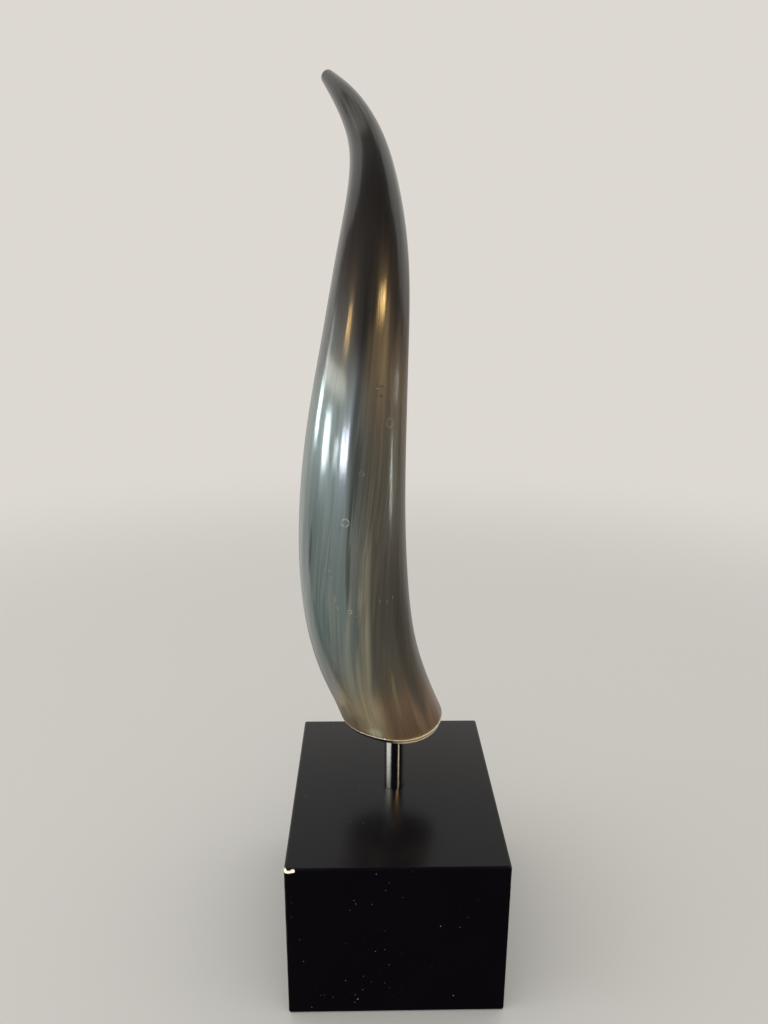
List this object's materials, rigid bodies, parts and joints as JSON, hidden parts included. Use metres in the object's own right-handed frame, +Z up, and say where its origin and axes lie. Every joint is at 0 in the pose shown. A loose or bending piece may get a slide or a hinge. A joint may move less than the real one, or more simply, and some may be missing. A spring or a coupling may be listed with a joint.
{
  "type": "polished cattle horn on a post and block stand",
  "caption": "Curved polished cattle horn, dark at its tip and olive brown below, held upright by a chromed rod in a black lacquered block.",
  "frame": {"origin": "middle of the block's underside, on the surface it stands on", "axes": "+Z up along the post and the horn's height, -Y towards the front, where the horn bows out, +X to the right"},
  "size_m": [0.127, 0.1524, 0.5283],
  "materials": {
    "polished_horn": "keratin sanded and polished to a gloss, near black at the tip, grey olive to tan lower down, streaked along its length",
    "chromed_steel": "bright chrome plate with fine handling scratches",
    "black_lacquer": "satin black lacquer over pale wood, chipped at the front left top corner"
  },
  "bodies": {
    "root": {"horn": "polished_horn", "post": "chromed_steel", "block": "black_lacquer"}
  },
  "joints": []
}
